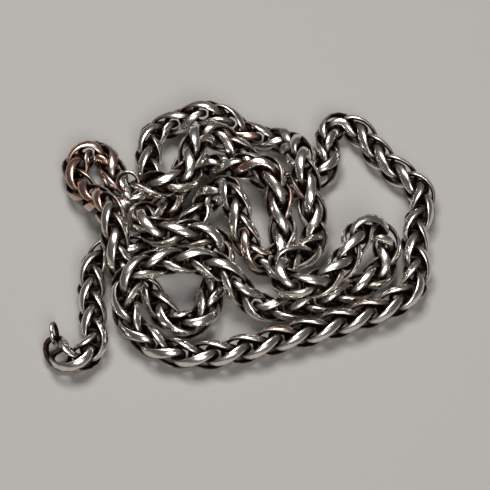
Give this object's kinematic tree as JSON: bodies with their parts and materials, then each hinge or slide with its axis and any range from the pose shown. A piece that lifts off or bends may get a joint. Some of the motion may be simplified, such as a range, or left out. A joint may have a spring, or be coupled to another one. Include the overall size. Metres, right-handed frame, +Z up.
{
  "type": "wheat chain necklace",
  "caption": "Wheat chain necklace of flattened, twisted wire links, lying in a loose heap, with a lobster clasp on a jump ring and a plain end ring.",
  "frame": {"origin": "middle of the heap's bounding box, at the surface that it lies on", "axes": "+X along the heap's longest side, +Y towards its back, +Z up"},
  "size_m": [0.0691, 0.0564, 0.0111],
  "materials": {
    "chain_metal": "tarnished silver plate, bright on the high faces, dark brown in the gaps and coppery where it is worn",
    "ring_metal": "tarnished silver plate",
    "clasp_metal": "worn silver plate with a warm tint",
    "lever_metal": "worn silver plate",
    "pin_steel": "dull steel"
  },
  "bodies": {
    "chain": {"clasp_end_link_01": "chain_metal", "clasp_end_link_02": "chain_metal", "chain_run_01": "chain_metal", "chain_run_02": "chain_metal", "chain_run_03": "chain_metal", "chain_run_04": "chain_metal", "chain_run_05": "chain_metal", "chain_run_06": "chain_metal", "chain_run_07": "chain_metal", "chain_run_08": "chain_metal", "chain_run_09": "chain_metal", "chain_run_10": "chain_metal", "chain_run_11": "chain_metal", "chain_run_12": "chain_metal", "chain_run_13": "chain_metal", "chain_run_14": "chain_metal", "chain_run_15": "chain_metal", "chain_run_16": "chain_metal", "chain_run_17": "chain_metal", "chain_run_18": "chain_metal", "chain_run_19": "chain_metal", "chain_run_20": "chain_metal", "chain_run_21": "chain_metal", "chain_run_22": "chain_metal", "chain_run_23": "chain_metal", "chain_run_24": "chain_metal", "chain_run_25": "chain_metal", "chain_run_26": "chain_metal", "chain_run_27": "chain_metal", "chain_run_28": "chain_metal", "chain_run_29": "chain_metal", "chain_run_30": "chain_metal", "chain_run_31": "chain_metal", "chain_run_32": "chain_metal", "chain_run_33": "chain_metal", "chain_run_34": "chain_metal", "chain_run_35": "chain_metal", "chain_run_36": "chain_metal", "chain_run_37": "chain_metal", "chain_run_38": "chain_metal", "chain_run_39": "chain_metal", "chain_run_40": "chain_metal", "chain_run_41": "chain_metal", "chain_run_42": "chain_metal", "chain_run_43": "chain_metal", "chain_run_44": "chain_metal"},
    "jump_ring": {"clasp_jump_ring": "ring_metal"},
    "clasp": {"clasp_body": "clasp_metal", "clasp_pin": "pin_steel", "clasp_spring": "pin_steel"},
    "lever": {"clasp_lever": "lever_metal"},
    "end_ring": {"end_ring": "ring_metal"},
    "tail_1": {"tail_link_01": "chain_metal"},
    "tail_2": {"tail_link_02": "chain_metal"},
    "tail_3": {"tail_link_03": "chain_metal"},
    "tail_4": {"tail_link_04": "chain_metal"},
    "tail_5": {"tail_link_05": "chain_metal"}
  },
  "joints": [
    {"name": "jump_ring_swing", "type": "hinge", "parent": "chain", "child": "jump_ring", "pos_m": [-0.01981, 0.00779, 0.00815], "axis": [0.1981, 0.6546, -0.7296], "range_deg": [-3, 1]},
    {"name": "clasp_swing", "type": "hinge", "parent": "jump_ring", "child": "clasp", "pos_m": [-0.02117, 0.00662, 0.00673], "axis": [-0.9571, 0.2896, 0], "range_deg": [-3, 2]},
    {"name": "clasp_lever_open", "type": "hinge", "parent": "clasp", "child": "lever", "pos_m": [-0.02231, 0.00503, 0.00365], "axis": [-0.9326, -0.0302, 0.3597], "range_deg": [0, 25], "stiffness_Nm_per_rad": 0.005, "springref_deg": -11.46},
    {"name": "tail_bend_1", "type": "hinge", "parent": "chain", "child": "tail_1", "pos_m": [-0.0263, -0.01752, 0.00277], "axis": [0, 0, 1], "range_deg": [-6, 6]},
    {"name": "tail_bend_2", "type": "hinge", "parent": "tail_1", "child": "tail_2", "pos_m": [-0.02597, -0.02035, 0.00277], "axis": [0, 0, 1], "range_deg": [-6, 6]},
    {"name": "tail_bend_3", "type": "hinge", "parent": "tail_2", "child": "tail_3", "pos_m": [-0.02614, -0.02318, 0.00277], "axis": [0, 0, 1], "range_deg": [-6, 4]},
    {"name": "tail_bend_4", "type": "hinge", "parent": "tail_3", "child": "tail_4", "pos_m": [-0.02777, -0.02546, 0.00277], "axis": [0, 0, 1], "range_deg": [-6, 3]},
    {"name": "tail_bend_5", "type": "hinge", "parent": "tail_4", "child": "tail_5", "pos_m": [-0.03049, -0.0258, 0.00277], "axis": [0, 0, 1], "range_deg": [-6, 3]},
    {"name": "end_ring_swing", "type": "hinge", "parent": "tail_5", "child": "end_ring", "pos_m": [-0.0328, -0.02157, 0.00277], "axis": [-0.9745, -0.0442, -0.22], "range_deg": [-40, 25]}
  ]
}
